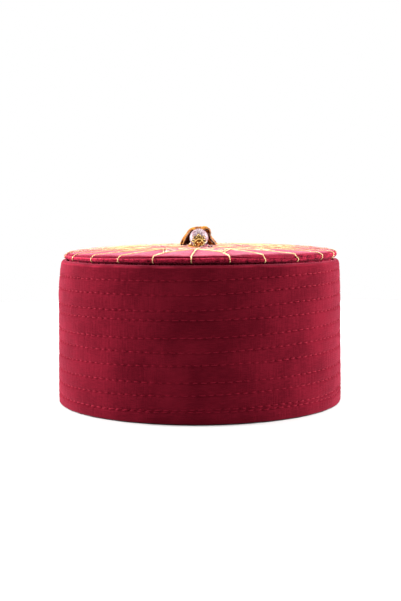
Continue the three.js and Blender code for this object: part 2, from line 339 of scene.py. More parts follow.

# The cotton has fine slubs along the weft and a soft sheen. A paler crimson is painted along the fold's
# ridge, as a highlight.
cotton, tree, surface = finish_of("satin_cotton", {
    "Roughness": 0.7,
    "Specular IOR Level": 0.0,
    "Sheen Weight": 0.46,
    "Sheen Roughness": 0.33,
    "Sheen Tint": (1, 0.2, 0.3, 1),
})
cloth = add(tree, "ShaderNodeUVMap", uv_map="cloth").outputs["UV"]
slubs = add(tree, "ShaderNodeMapping", {"Vector": cloth, "Scale": (0.16, 2.2, 1)})
streaks = mottle(tree, slubs, 1.0, 4, 0.6)
shade = share_of(tree, combine(tree, "ADD", streaks, mottle(tree, on_piece(tree), 45, 3)), 0.83, 1.17)
cloth_tone = between(tree, shade, DEEP_CRIMSON, CRIMSON)
# the attribute says where the painted highlight lies on the fold's ridge
highlight_paint = add(tree, "ShaderNodeAttribute", attribute_name="highlight_paint", attribute_type="GEOMETRY")
patchy_highlight = combine(tree, "MULTIPLY", highlight_paint.outputs["Fac"], streaks)
weave = {"Vector": cloth, "Distortion": 0.8, "Detail": 2}
weft = add(tree, "ShaderNodeTexWave", {**weave, "Scale": 0.24}, bands_direction="Y")
warp = add(tree, "ShaderNodeTexWave", {**weave, "Scale": 0.26}, bands_direction="X")
threads = combine(tree, "MULTIPLY", weft.outputs["Fac"], warp.outputs["Fac"])
drawn = add(tree, "ShaderNodeMapping", {"Vector": cloth, "Scale": (0.62, 0.1, 1)})
gathers = relief(tree, mottle(tree, drawn, 1.0), 0.35, 0.8)
grain = relief(tree, combine(tree, "ADD", threads, streaks), 0.5, 0.12)
tree.links.new(gathers.outputs[0], grain.inputs["Normal"])
dress(tree, surface, between(tree, patchy_highlight, cloth_tone, HIGHLIGHT_CRIMSON), grain)

turn = np.arange(BAND_COLUMNS) / BAND_COLUMNS
fold_puckers = ripple(turn, 16, 38, 7)
fold_waves = ripple(turn, 9, 22, 8)
to_front = 0.5 - 0.5 * np.cos(math.tau * turn)
to_left = 0.5 + 0.5 * np.sin(math.tau * turn)
band_rows = []


def band_row(radius, height):
    """One row of the band's points, counterclockwise from the back."""
    angle = math.pi / 2 + math.tau * turn
    x = radius * np.cos(angle)
    level = height + np.zeros_like(x)
    place = (x + drawn_right(x, level), radius * np.sin(angle), settled(x, level))
    band_rows.append(np.stack(place, axis=-1))


# The outside climbs from the rim to the round fold over the top.
OUTSIDE_FOOT = 2.4
OUTSIDE_TOP = 95.5
OUTSIDE_ROWS = 186
for height in np.linspace(OUTSIDE_FOOT, OUTSIDE_TOP, OUTSIDE_ROWS):
    band_row(band_radius(turn, np.full_like(turn, height)), height)

# Round the fold the cloth stands out in a welt, with a painted highlight. At the left front it has sunk.
FOLD_MIDDLE = (92.4, 95.4)
FOLD_RADIUS = 2.4
FOLD_ANGLES = np.radians([14, 20, 26, 32, 38, 44, 52, 60, 70, 80, 92, 105, 120, 140, 160])
FOLD_RIDGE = math.radians(27)
FOLD_SUNK = 0.3
WELT_SPREAD = 0.26
fold_drop = FOLD_SUNK * to_front ** 6 * ramp(to_left, 0.46, 0.58)
for angle in FOLD_ANGLES:
    off_ridge = angle - FOLD_RIDGE - 0.12 * fold_waves
    welt = (0.05 + 0.25 * to_front ** 4 * (1 + 0.5 * fold_puckers)) * peak(off_ridge, WELT_SPREAD)
    out = (FOLD_RADIUS + welt) * math.cos(angle) + 0.16 * fold_puckers * math.cos(angle / 2)
    rise = (FOLD_RADIUS + welt) * math.sin(angle) + 0.12 * fold_waves * math.sin(angle)
    band_row(FOLD_MIDDLE[0] + out, FOLD_MIDDLE[1] + rise - fold_drop)

# Inside it goes down to the rim, and round the rim to where it began.
INSIDE_TOP = 94.5
INSIDE_FOOT = 3
INSIDE_ROWS = 12
RIM_MIDDLE = (95.1, 1.7)
RIM_HALF = (1.4, 1.7)
RIM_ANGLES = np.radians([200, 225, 250, 270, 290, 308, 324, 338, 350])
for height in np.linspace(INSIDE_TOP, INSIDE_FOOT, INSIDE_ROWS):
    inside = np.interp(height, BAND_HEIGHTS, BAND_RADII) - WALL
    off, _ = nearest_seam(turn, np.full_like(turn, height))
    band_row(inside + 0.3 * np.exp(-np.abs(off) / 1.6), height)
for angle in RIM_ANGLES:
    out = RIM_MIDDLE[0] + RIM_HALF[0] * math.cos(angle) + 0.08 * fold_puckers
    band_row(out, RIM_MIDDLE[1] + RIM_HALF[1] * math.sin(angle))

band_mesh, used = skin_mesh("quilted_band", band_rows, closed=True)
# A painted highlight along the fold's ridge, strongest at the front and at the left.
ridge_highlight = np.zeros((len(band_rows), BAND_COLUMNS))
for row, angle in enumerate(FOLD_ANGLES, start=OUTSIDE_ROWS):
    off_ridge = (angle - FOLD_RIDGE - 0.12 * fold_waves) * FOLD_RADIUS
    ridge_highlight[row] = 0.4 * (1 + 0.8 * fold_puckers) * to_front ** 4 * peak(off_ridge, 0.42)
    ridge_highlight[row] += 0.32 * (1 + 0.6 * fold_puckers) * to_left ** 3 * peak(off_ridge, 1.1)
band_mesh.attributes.new("highlight_paint", "FLOAT", "POINT").data.foreach_set("value", ridge_highlight.ravel()[used])

# The weave lies on the cloth as it would lie flat: round the band, and up it and over the fold.
rows = np.asarray(band_rows)
steps = np.linalg.norm(np.roll(rows, -1, axis=0) - rows, axis=2)
run = np.vstack([np.zeros(BAND_COLUMNS), np.cumsum(steps, axis=0)])
corner = np.empty(len(band_mesh.loops), int)
band_mesh.loops.foreach_get("vertex_index", corner)


def unwound(index, count):
    """Each face's row or column numbers, going on past the last one instead of back to 0."""
    last = index.max(axis=1, keepdims=True) == count - 1
    return np.where((index == 0) & last, count, index)


corner_row = unwound(corner.reshape(-1, 4) // BAND_COLUMNS, len(band_rows))
corner_column = unwound(corner.reshape(-1, 4) % BAND_COLUMNS, BAND_COLUMNS)
across = corner_column / BAND_COLUMNS * math.tau * SEAM_RADIUS
up = run[corner_row, corner_column % BAND_COLUMNS]
sheet = band_mesh.uv_layers.new(name="cloth")
sheet.data.foreach_set("uv", np.stack([across, up], axis=-1).ravel())

RIM_SHADE_TOP = 0.85          # the rim is painted near black this far up, as shade
# Painted shade: the foot of the rim is near black where it meets the table.
rim_shade_paint, _, _ = finish_of("painted_shade_of_rim", {"Base Color": RIM_SHADE_BROWN, "Roughness": 0.85})
band = piece("quilted_band", band_mesh, cotton, rim_shade_paint)
for face in band_mesh.polygons:
    face.material_index = int(face.center.z < RIM_SHADE_TOP * MM)
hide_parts("band")
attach(band, "root")


# The quilting thread is thick crimson cotton, a little shinier than the cloth. It lies in the seam
# as one long stitch after another, each pulled down at both ends, ten times round and a lap more.
STITCH_LENGTH = 3.6
STITCH_WIDTH = 0.58
STITCH_LIFT = -0.02         # over the bottom of the seam,
STITCH_SLACK = 0.09         # and more at the sides
THREAD_RADIUS = 0.07        # of a thread one unit long, before it is stretched to size
THREAD_ARCH = 0.11


def node_group(name, sizes, result):
    """A tree of nodes with these named inputs. Returns it and what it is given."""
    tree = bpy.data.node_groups.new(name, "GeometryNodeTree")
    for label, kind in sizes.items():
        tree.interface.new_socket(label, in_out="INPUT", socket_type=f"NodeSocket{kind}")
    tree.interface.new_socket(result, in_out="OUTPUT", socket_type="NodeSocketGeometry")
    return tree, add(tree, "NodeGroupInput").outputs


def close_group(tree, shapes, finish):
    """The end of each tree: its shapes are made real and smooth, and get their finish."""
    whole = add(tree, "GeometryNodeRealizeInstances", {"Geometry": shapes})
    smooth = add(tree, "GeometryNodeSetShadeSmooth", {"Geometry": whole})
    finished = add(tree, "GeometryNodeSetMaterial", {"Geometry": smooth, "Material": finish})
    add(tree, "NodeGroupOutput", {0: finished})


def round_body(tree, path, sides, radius):
    """A round body with closed ends along a path."""
    ring = add(tree, "GeometryNodeCurvePrimitiveCircle", {
        "Resolution": sides, "Radius": radius,
    }, mode="RADIUS")
    return add(tree, "GeometryNodeCurveToMesh", {
        "Curve": path, "Profile Curve": ring, "Fill Caps": True,
    })


def sewing_tree():
    """Nodes that lay one thread on each point, along "along", with its back to "outward"."""
    tree, given = node_group("sewn_thread", {
        "Points": "Geometry", "Thread radius": "Float", "Arch": "Float", "Sides": "Int",
        "Finish": "Material",
    }, "Threads")
    dip = combine(tree, "MULTIPLY", given["Arch"], -0.6)
    start = add(tree, "ShaderNodeCombineXYZ", {"X": -0.5, "Z": dip})
    middle = add(tree, "ShaderNodeCombineXYZ", {"X": 0.0, "Z": given["Arch"]})
    end = add(tree, "ShaderNodeCombineXYZ", {"X": 0.5, "Z": dip})
    path = add(tree, "GeometryNodeCurveQuadraticBezier", {
        "Resolution": 5,
        "Start": start, "Middle": middle, "End": end,
    })
    thread = round_body(tree, path, given["Sides"], given["Thread radius"])
    along, outward, size = (
        add(tree, "GeometryNodeInputNamedAttribute", {"Name": name}, data_type="FLOAT_VECTOR")
        for name in ("along", "outward", "size")
    )
    turned = add(tree, "FunctionNodeAxesToRotation", {
        "Primary Axis": along, "Secondary Axis": outward,
    }, primary_axis="X", secondary_axis="Z")
    laid = add(tree, "GeometryNodeInstanceOnPoints", {
        "Points": given["Points"], "Instance": thread,
        "Rotation": turned, "Scale": size,
    })
    close_group(tree, laid, given["Finish"])
    return tree


def run_nodes(name, mesh, tree, values):
    """The plain mesh that the nodes make from this one, as a finished object."""
    made = piece(name, mesh)
    nodes = made.modifiers.new("nodes", "NODES")
    nodes.node_group = tree
    for socket in tree.interface.items_tree:
        if socket.in_out == "INPUT" and socket.name in values:
            nodes[socket.identifier] = values[socket.name]
    made.update_tag()
    graph = bpy.context.evaluated_depsgraph_get()
    result = bpy.data.meshes.new_from_object(made.evaluated_get(graph), depsgraph=graph)
    made.modifiers.remove(nodes)
    made.data = result
    result.name = name
    for attribute in list(result.attributes):
        if attribute.name in ("along", "outward", "size"):
            result.attributes.remove(attribute)
    return made


sewing = sewing_tree()


def sew(name, threads, finish, sides=6):
    """Threads from rows of (middle, direction, outward, length, width), in millimetres."""
    middles, directions, outwards, lengths, widths = (np.array(part) for part in zip(*threads))
    mesh = bpy.data.meshes.new(name)
    mesh.from_pydata((middles * MM).tolist(), [], [])
    girth = widths / (2 * THREAD_RADIUS)
    sizes = np.stack([lengths, girth, girth], axis=-1) * MM
    for label, values in (("along", directions), ("outward", outwards), ("size", sizes)):
        mesh.attributes.new(label, "FLOAT_VECTOR", "POINT").data.foreach_set("vector", values.ravel())
    return run_nodes(name, mesh, sewing, {
        "Thread radius": THREAD_RADIUS, "Arch": THREAD_ARCH, "Sides": sides, "Finish": finish,
    })


def seam_point(at, lift):
    """A point on the seam, so many turns from its foot at the back."""
    height = np.interp(at, seam_turns, seam_heights)
    radius = np.interp(height, BAND_HEIGHTS, BAND_RADII) - SEAM_DEPTH - 0.6 * CREASE_DEPTH + lift
    angle = math.pi / 2 + math.tau * at
    x = radius * math.cos(angle)
    return np.array([x + drawn_right(x, height), radius * math.sin(angle), settled(x, height)])


stitch_turns = STITCH_PITCH / (math.tau * SEAM_RADIUS)
hand = random.Random(11)
stitches = []
at = math.ceil(seam_turns[0] / stitch_turns) * stitch_turns
while at < seam_turns[-1] - stitch_turns:
    lift = STITCH_LIFT + STITCH_SLACK * math.sin(math.tau * at) ** 2
    middle = seam_point(at, lift)
    ahead = seam_point(at + stitch_turns / 4, lift) - middle
    ahead[2] += hand.uniform(-0.12, 0.12)
    middle[2] += hand.uniform(-0.14, 0.14)
    outward = np.array([middle[0], middle[1], 0]) / math.hypot(middle[0], middle[1])
    length = STITCH_LENGTH * hand.uniform(0.78, 1.14)
    stitches.append((middle, ahead / np.linalg.norm(ahead), outward, length, STITCH_WIDTH))
    at += stitch_turns

THREAD_CRIMSON = (0.25, 0.0105, 0.027)
THREAD_DEEP = (0.12, 0.0045, 0.0115)
quilting_thread, tree, surface = finish_of("quilting_thread", {
    "Metallic": 0.15,
    "Roughness": 0.5,
    "Specular IOR Level": 0.02,
    "Specular Tint": (1, 0.3, 0.4, 1),
})
hairs = mottle(tree, on_piece(tree), 2600)
dress(tree, surface, between(tree, hairs, THREAD_DEEP, THREAD_CRIMSON), relief(tree, hairs, 0.5, 0.1))

band_stitches = sew("band_stitches", stitches, quilting_thread)
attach(band_stitches, "root")


# The crown is a round pad of crimson velour. A thin roll swells over the band at its edge, with one
# crease above it and a finer one along it, and the pad is drawn down along each line of gold cord.
SHOULDER_RADIUS = 88.5
SHOULDER_HEIGHT = 103.1
DOME_RISE = 2.3
DIP_DEPTH = 0.4             # in the middle, under the tassel
DIP_SPREAD = 30
PADDING = 4.6
RIB_SWELL = 0.42            # of the padding, between two ribs
CORD_DEPTH = 0.4            # how far a line of cord presses into the pile
CROWN_FOOT = 98.65
CROWN_RADIUS = 92.7
CROWN_ASIDE = 0.8           # the crown sits this far to the right of the band
ROLL_INWARD = 3.8           # from the belly of the roll in to its foot,
ROLL_OVER = 2.8             # and in to its top
ROLL_TOP = 102.9
BELLY_LEFT = 100.0
BELLY_RIGHT = 101.5
DROOPS = [(1.8, 34, 12), (0.55, -45, 22)]   # how far the roll hangs down, at which bearing, how wide
CREASE_IN = 1.0             # how far the crease presses in,
CREASE_DOWN = 0.45          # and down
CREASE_ANGLE = 50           # degrees up round the roll
CREASE_SPREAD = 11
FINE_CREASE_IN = 0.4
FINE_CREASE_ANGLE = 3
FINE_CREASE_SPREAD = 8
CREASE_RADIUS = 91.2        # outside this the roll is painted lighter, as a highlight
CROWN_COLUMNS = 576
RIBS = 24
RIB_TURN = 360 / RIBS
FIRST_RIB = -3.43           # degrees from the front towards +X
RIB_DRIFT = {1: -0.5, 2: -1.2, 3: -0.4, 4: 1.0}     # degrees that some ribs stray, laid by hand
STAR_POINT = 73             # the ribs end at a star of 12 points, by turns out here
STAR_NOTCH = 44             # and in here

def crown_top(radius):
    """Height of the plain dome, with its dip, at this distance from its middle."""
    dome = DOME_RISE * (1 - (radius / SHOULDER_RADIUS) ** 2)
    return SHOULDER_HEIGHT + dome - DIP_DEPTH * peak(radius, DIP_SPREAD)


def spot(radius, bearing):
    """A place on the plan of the crown, with the bearing in degrees from the front towards +X."""
    swing = math.radians(bearing)
    return np.array([CROWN_ASIDE + radius * math.sin(swing), -radius * math.cos(swing)])


def bearing_of(x, y):
    """Degrees from the first rib towards +X."""
    return np.degrees(np.arctan2(x - CROWN_ASIDE, -y)) - FIRST_RIB


def padding(x, y):
    """How far the stuffed pad swells over its plain dome, out of the lines of cord."""
    radius = np.hypot(x - CROWN_ASIDE, y)
    bearing = bearing_of(x, y)
    swell = np.sin(math.pi * bearing / RIB_TURN) ** 2
    outside = ramp(radius, 50, 72) * ramp(radius, 92, 86)
    lumps = ripple(bearing / 360, 5, 17, 21) * np.sin(radius / 11 + bearing / 40)
    return RIB_SWELL * swell * outside + 0.12 * lumps * ramp(radius, 0, 30)


def crown_skin(x, y, lift=0.0):
    """A point on the crown's top, raised by lift."""
    height = crown_top(math.hypot(x - CROWN_ASIDE, y)) + padding(x, y)
    return np.array([x, y, settled(x, height) + lift])


def star(point, notch):
    """The corners of a star with this outer and inner radius."""
    return [spot(point if rib % 2 else notch, FIRST_RIB + rib * RIB_TURN) for rib in range(RIBS)]


def sides_of(corners):
    """The two ends of each side of a closed outline."""
    return list(zip(corners, corners[1:] + corners[:1]))


def cord_groove(x, y):
    """How far the ribs and the star press into the pile."""
    radius = np.hypot(x - CROWN_ASIDE, y)
    bearing = bearing_of(x, y)
    rib = np.round(bearing / RIB_TURN)
    inner = np.where(rib % 2 == 1, STAR_POINT, STAR_NOTCH)
    stray = np.array([RIB_DRIFT.get(number, 0) for number in range(RIBS)])[rib.astype(int) % RIBS]
    aside = radius * np.radians(bearing - rib * RIB_TURN - stray)
    groove = peak(aside, 0.9) * (radius > inner)
    for start, end in sides_of(star(STAR_POINT, STAR_NOTCH)):
        side = end - start
        share = ((x - start[0]) * side[0] + (y - start[1]) * side[1]) / (side @ side)
        share = ramp(share, 0, 1)
        gap = np.hypot(x - start[0] - share * side[0], y - start[1] - share * side[1])
        groove = np.maximum(groove, peak(gap, 1.1))
    return CORD_DEPTH * groove


around = math.tau * np.arange(CROWN_COLUMNS) / CROWN_COLUMNS + math.radians(FIRST_RIB) - math.pi / 2
share_round = np.arange(CROWN_COLUMNS) / CROWN_COLUMNS
rib_pull = np.cos(math.pi * (share_round * RIBS % 1)) ** 16
roll_puckers = ripple(share_round, 18, 44, 23)
roll_waves = ripple(share_round, 6, 15, 24)
crease_drift = ripple(share_round, 9, 26, 25)
round_bearing = (np.degrees(around) + 90 + 180) % 360 - 180     # from the front towards +X
droop = sum(depth * np.exp(-0.5 * ((round_bearing - at) / wide) ** 2) for depth, at, wide in DROOPS)
to_right = np.clip(0.5 + 0.5 * np.cos(around) + 0.12 * roll_waves, 0, 1)
belly = BELLY_LEFT + (BELLY_RIGHT - BELLY_LEFT) * to_right ** 1.5 - 0.6 * droop
crown_rows = []
roll_rows = []


def crown_row(radius, height):
    """One row of the crown's points, counterclockwise from the first rib."""
    radius = radius + np.zeros(CROWN_COLUMNS)
    x = CROWN_ASIDE + radius * np.cos(around)
    crown_rows.append(np.stack([x, radius * np.sin(around), settled(x, height + 0 * x)], axis=-1))


# The underside lies level. Its turned-in edge hangs inside the band, where it is sewn down, and
# closes the join from below.
UNDERSIDE_RADII = (0, 12, 30, 50, 66, 78)
# radius of the turned-in edge, and how far it hangs under the foot of the roll
TURNED_IN = ((83, 0.4), (86.2, 1.2), (87.3, 3.4), (88.1, 3.9), (88.9, 3.6), (89.2, 1.2))
for radius in UNDERSIDE_RADII:
    crown_row(radius, crown_top(radius) - PADDING + 0.1 * roll_waves * (radius > 0))
for radius, under_foot in TURNED_IN:
    crown_row(radius, CROWN_FOOT - under_foot)

# The roll goes from its foot at -90 degrees over its belly at 0 and in under the top.
for degrees in np.linspace(-90, 76, 36):
    angle = np.radians(degrees)
    inward = ROLL_INWARD if angle < 0 else ROLL_OVER
    reach = belly - CROWN_FOOT if angle < 0 else ROLL_TOP - droop - belly
    rise = belly + reach * math.sin(angle)
    out = CROWN_RADIUS - inward * (1 - math.cos(angle))
    crease = peak(degrees - CREASE_ANGLE - 5 * crease_drift, CREASE_SPREAD)
    fine = peak(degrees - FINE_CREASE_ANGLE - 4 * roll_puckers, FINE_CREASE_SPREAD)
    out = out - FINE_CREASE_IN * fine * (1 + 0.5 * roll_waves)
    out = out + (0.2 * roll_puckers + 0.2 * roll_waves - 0.3 * rib_pull) * math.cos(angle)
    out = out - CREASE_IN * crease
    under = max(0, -math.sin(angle))
    rise = rise - CREASE_DOWN * crease + 0.2 * under * (roll_waves - 0.6)
    crown_row(out, rise)
    roll_rows.append((angle, out, rise))

# The top is a low dome, drawn down under each line of cord.
TOP_RADII = [*np.linspace(90.3, 24, 58), *np.linspace(22.5, 1.5, 12), 0]
for radius in TOP_RADII:
    x, y = CROWN_ASIDE + radius * np.cos(around), radius * np.sin(around)
    height = crown_top(radius) + padding(x, y) - cord_groove(x, y)
    height = height - 0.5 * droop * max(0, (radius - 87.5) / 3) ** 2
    if radius > SHOULDER_RADIUS:
        height = height - 0.12
    crown_row(radius, height)


def velour_finish(name, deep, light, sheen, patches):
    """Crimson velour: brushed in patches, with a sheen where the pile is seen from the side."""
    material, tree, surface = finish_of(name, {
        "Roughness": 0.92,
        "Specular IOR Level": 0.02,
        "Sheen Weight": sheen,
        "Sheen Roughness": 0.3,
        "Sheen Tint": (1, 0.38, 0.52, 1),
    })
    place = on_piece(tree)
    nap = combine(tree, "ADD", mottle(tree, place, patches, 5, 0.65), mottle(tree, place, 1300))
    tone = between(tree, share_of(tree, nap, 0.8, 1.2), deep, light)
    dress(tree, surface, tone, relief(tree, nap, 0.8, 0.4))
    return material


velour = velour_finish("velour", (0.12, 0.0042, 0.013), (0.26, 0.0105, 0.032), 0.5, 120)
# A lighter copy of the velour for the roll's shoulder is a painted highlight; a darker one with little
# sheen for its lower half is painted shade.
shoulder_highlight_velour = velour_finish("velour_painted_highlight", (0.12, 0.0048, 0.013), (0.56, 0.026, 0.066), 0.34, 400)
roll_shade_velour = velour_finish("velour_painted_shade", (0.03, 0.0011, 0.0035), (0.36, 0.016, 0.044), 0.05, 400)

# The roll is painted dark, as shade, up to just over its belly and higher at the right, and all round
# underneath.
UNDERSIDE_RADIUS = 80
UNDERSIDE_TOP = 99.5
crown_mesh, _ = skin_mesh("velour_crown", crown_rows, poles=True)
crown = piece("velour_crown", crown_mesh, velour, shoulder_highlight_velour, roll_shade_velour)
for face in crown_mesh.polygons:
    middle = face.center / MM
    out = math.hypot(middle.x - CROWN_ASIDE, middle.y)
    over_belly = 0.5 + 1.6 * ramp(middle.x, 40, 65)
    underneath = out < UNDERSIDE_RADIUS and middle.z < UNDERSIDE_TOP
    if underneath or middle.z < settled(middle.x, BELLY_LEFT + over_belly):
        face.material_index = 2
    elif out > CREASE_RADIUS:
        face.material_index = 1
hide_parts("crown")
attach(crown, "root")


# The ribs and the star are gold cord of two plies, laid on the velour and sewn down. The ribs come
# up over the roll from the band, one every 15 degrees, and end at the star's double outline.
CORD_PLY = 0.23             # radius of one ply
CORD_TWIST = 3.0            # length of one full twist
PLY_ASIDE = 0.92            # of a ply's radius, from the middle of the cord
RIB_LIFT = 0.08


def cording_tree():
    """Nodes that follow each line of points with two plies twisted round each other."""
    tree, given = node_group("twisted_cord", {
        "Lines": "Geometry", "Ply radius": "Float", "Twist length": "Float",
        "Step": "Float", "Sides": "Int", "Finish": "Material",
    }, "Cords")
    line = add(tree, "GeometryNodeMeshToCurve", {"Mesh": given["Lines"]})
    even = add(tree, "GeometryNodeResampleCurve", {
        "Curve": line, "Length": given["Step"],
    }, mode="LENGTH")
    run = add(tree, "GeometryNodeSplineParameter").outputs["Length"]
    twists = combine(tree, "DIVIDE", run, given["Twist length"])
    twisted = add(tree, "GeometryNodeSetCurveTilt", {
        "Curve": even, "Tilt": combine(tree, "MULTIPLY", twists, math.tau),
    })
    ply = add(tree, "GeometryNodeCurvePrimitiveCircle", {
        "Resolution": given["Sides"], "Radius": given["Ply radius"],
    }, mode="RADIUS")
    pair = add(tree, "GeometryNodeJoinGeometry")
    for side in (-PLY_ASIDE, PLY_ASIDE):
        aside = combine(tree, "MULTIPLY", given["Ply radius"], side)
        moved = add(tree, "GeometryNodeTransform", {
            "Geometry": ply,
            "Translation": add(tree, "ShaderNodeCombineXYZ", {"X": aside}),
        })
        tree.links.new(moved.outputs[0], pair.inputs[0])
    cord = add(tree, "GeometryNodeCurveToMesh", {
        "Curve": twisted, "Profile Curve": pair, "Fill Caps": True,
    })
    close_group(tree, cord, given["Finish"])
    return tree


cording = cording_tree()


def line_mesh(name, lines):
    """A mesh of bare edges along each of these lines of points, in millimetres."""
    points, edges = [], []
    for line in lines:
        edges += [(len(points) + i, len(points) + i + 1) for i in range(len(line) - 1)]
        points += [list(np.asarray(point, float) * MM) for point in line]
    mesh = bpy.data.meshes.new(name)
    mesh.from_pydata(points, edges, [])
    return mesh


def lay_cord(name, lines, finish, ply=CORD_PLY, twist=CORD_TWIST, step=0.42, sides=5):
    """Two-ply cord along each of these lines."""
    return run_nodes(name, line_mesh(name, lines), cording, {
        "Ply radius": ply * MM, "Twist length": twist * MM, "Step": step * MM, "Sides": sides,
        "Finish": finish,
    })


def thread_finish(name, light, dark, metallic, roughness):
    """Metal-wrapped thread: bright windings with darker hollows between them."""
    material, tree, surface = finish_of(name, {
        "Metallic": metallic, "Roughness": roughness, "Specular IOR Level": 0.5,
    })
    place = on_piece(tree)
    windings = mottle(tree, place, 3200, 1)
    bright = share_of(tree, combine(tree, "ADD", windings, mottle(tree, place, 260, 3)), 0.7, 1.25)
    dress(tree, surface, between(tree, bright, dark, light), relief(tree, windings, 0.5, 0.08))
    return material


gold_thread = thread_finish("gold_thread", (1.0, 0.82, 0.44), (0.55, 0.28, 0.08), 0.5, 0.36)

# Each rib touches the roll from under its belly up, and bridges the crease.
touched_rows = roll_rows[7:26:2] + roll_rows[-2:]


def rib_line(rib, inner):
    """Over the roll from its foot, and in along the crown to the star."""
    bearing = FIRST_RIB + rib * RIB_TURN + RIB_DRIFT.get(rib, 0)
    column = round((bearing - FIRST_RIB) / 360 * CROWN_COLUMNS) % CROWN_COLUMNS
    line = []
    for angle, out, rise in touched_rows:
        x, y = spot(out[column] + RIB_LIFT * math.cos(angle), bearing)
        line.append((x, y, settled(x, rise[column] + RIB_LIFT * math.sin(angle))))
    for radius in [*np.arange(89.2, inner, -2.0), inner]:
        line.append(crown_skin(*spot(radius, bearing), RIB_LIFT))
    return line


def straight(start, end, lift=RIB_LIFT, steps=9):
    """A line over the crown between two places on its plan."""
    return [crown_skin(*(start + (end - start) * i / steps), lift) for i in range(steps + 1)]


rib_lines = [rib_line(rib, STAR_POINT if rib % 2 else STAR_NOTCH) for rib in range(RIBS)]
gold_ribs = lay_cord("gold_ribs", rib_lines, gold_thread)
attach(gold_ribs, "root")

STAR_INSET = (7.2, 3.15)    # of the inner outline, at its points and its notches
star_lines = []
for point, notch in (STAR_POINT, STAR_NOTCH), (STAR_POINT - STAR_INSET[0], STAR_NOTCH - STAR_INSET[1]):
    star_lines += [straight(start, end) for start, end in sides_of(star(point, notch))]
gold_star = lay_cord("gold_star", star_lines, gold_thread, ply=0.15, twist=2.0)
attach(gold_star, "root")


# The middle of the crown is worked in the same gold: a double ring with a small one inside it,
# twelve pointed arches round them, and scrolls that run out into the star's points. All of it is
# finer cord, sewn down the same way.
ARCH_KNOTS = [(31, 7.1), (38, 8.4), (41.5, 2.2), (46, 0)]   # radius, and degrees from its middle
RINGS = (28.4, 30.0, 9.4)
RING_SIDES = 72
CURLS = [(43.5, 5.4, 2.3), (50.2, 3.5, 1.9), (36.2, 3.0, 1.6)]  # radius, degrees aside, size
CURL_TURNS = 1.35
STEM_RADII = np.linspace(48, 54, 6)
STAR_POINTS = RIBS // 2
FINE_LIFT = -0.1


def stitched(radius, bearing):
    """A point of the fine cord, at this radius and bearing on the crown."""
    return crown_skin(*spot(radius, bearing), FINE_LIFT)


def arch_line(bearing, side):
    """One side of a pointed arch, with a reversed curve up to its tip."""
    line = []
    for i in range(15):
        t = i / 14
        shares = ((1 - t) ** 3, 3 * t * (1 - t) ** 2, 3 * t ** 2 * (1 - t), t ** 3)
        radius, swing = (sum(share * knot[i] for share, knot in zip(shares, ARCH_KNOTS)) for i in (0, 1))
        line.append(stitched(radius, bearing + side * swing))
    return line


def scroll_line(centre, start, hand_of, radius):
    """A curl that winds in to its centre."""
    line = []
    for i in range(23):
        share = i / 22
        swing = start + hand_of * math.tau * CURL_TURNS * share
        reach = radius * (1 - 0.78 * share)
        curl = reach * np.array([math.cos(swing), math.sin(swing)])
        line.append(crown_skin(*(centre + curl), FINE_LIFT))
    return line


scroll_lines = [
    [stitched(radius, 360 * i / RING_SIDES) for i in range(RING_SIDES + 1)] for radius in RINGS
]
for point in range(STAR_POINTS):
    even = FIRST_RIB + 2 * RIB_TURN * point
    odd = even + RIB_TURN
    scroll_lines += [arch_line(even, side) for side in (-1, 1)]
    scroll_lines.append([stitched(radius, odd) for radius in STEM_RADII])
    for side in (-1, 1):
        for radius, swing, size in CURLS:
            centre = spot(radius, odd + side * swing)
            outward = math.atan2(centre[1], centre[0])
            scroll_lines.append(scroll_line(centre, outward + side * 1.9, side, size))
gold_scrolls = lay_cord(
    "gold_scrolls", scroll_lines, gold_thread, ply=0.12, twist=1.6, step=0.45, sides=4,
)
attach(gold_scrolls, "root")


# Leaves and petals are satin stitch, threads laid side by side across each shape over a little
# padding. Silver rosettes sit in every second point of the star, and gold sprigs in the others.
SATIN_PITCH = 0.42
SATIN_WIDTH = 0.34
SATIN_PADDING = 0.1
ROSETTE_RADIUS = 59
PETALS_OF_ROSETTE = 8
UP = np.array([0, 0, 1.0])


def satin_leaf(root, tip, width, slant=0.35):
    """Threads across a leaf between two places on the crown's plan, widest near its middle."""
    along = (tip - root) / np.linalg.norm(tip - root)
    across = np.array([-along[1], along[0]])
    side = across * math.cos(slant) + along * math.sin(slant)
    count = int(np.linalg.norm(tip - root) / SATIN_PITCH)
    threads = []
    for i in range(count):
        share = (i + 0.5) / count
        half = 0.5 * width * math.sin(math.pi * share ** 0.85) ** 0.8 + 0.12
        middle = root + (tip - root) * share
        rise = FINE_LIFT + SATIN_PADDING * math.sin(math.pi * share)
        ends = [crown_skin(*(middle + sign * half * side), rise) for sign in (-1, 1)]
        ends[1][2] += hand.uniform(-0.04, 0.04)
        stretch = ends[1] - ends[0]
        length = np.linalg.norm(stretch)
        threads.append(((ends[0] + ends[1]) / 2, stretch / length, UP, length, SATIN_WIDTH))
    return threads


gold_threads = []
silver_threads = []
rosettes = []
for point in range(STAR_POINTS):
    even = FIRST_RIB + 2 * RIB_TURN * point
    odd = even + RIB_TURN
    # bearing, radius of root and tip, width, slant
    for bearing, root, tip, width, slant in (
        (even, 12, 26, 3.0, 0.35), (odd, 16, 25, 1.8, 0.35),
        (even, 34, 41, 2.0, 0.35), (odd, 35, 44, 1.8, -0.35),
    ):
        gold_threads += satin_leaf(spot(root, bearing), spot(tip, bearing), width, slant)
    if point % 2:
        rosettes.append(spot(ROSETTE_RADIUS, odd))
    else:
        gold_threads += satin_leaf(spot(55, odd), spot(64, odd), 2.2)
        for side in (-1, 1):
            tip = spot(60, odd + side * 4.2)
            gold_threads += satin_leaf(spot(55.5, odd + side), tip, 1.6, side * 0.35)
for centre in rosettes:
    for swing in swings(PETALS_OF_ROSETTE):
        out = np.array([math.cos(swing), math.sin(swing)])
        silver_threads += satin_leaf(centre + 1.3 * out, centre + 4.7 * out, 2.5, 0.15)

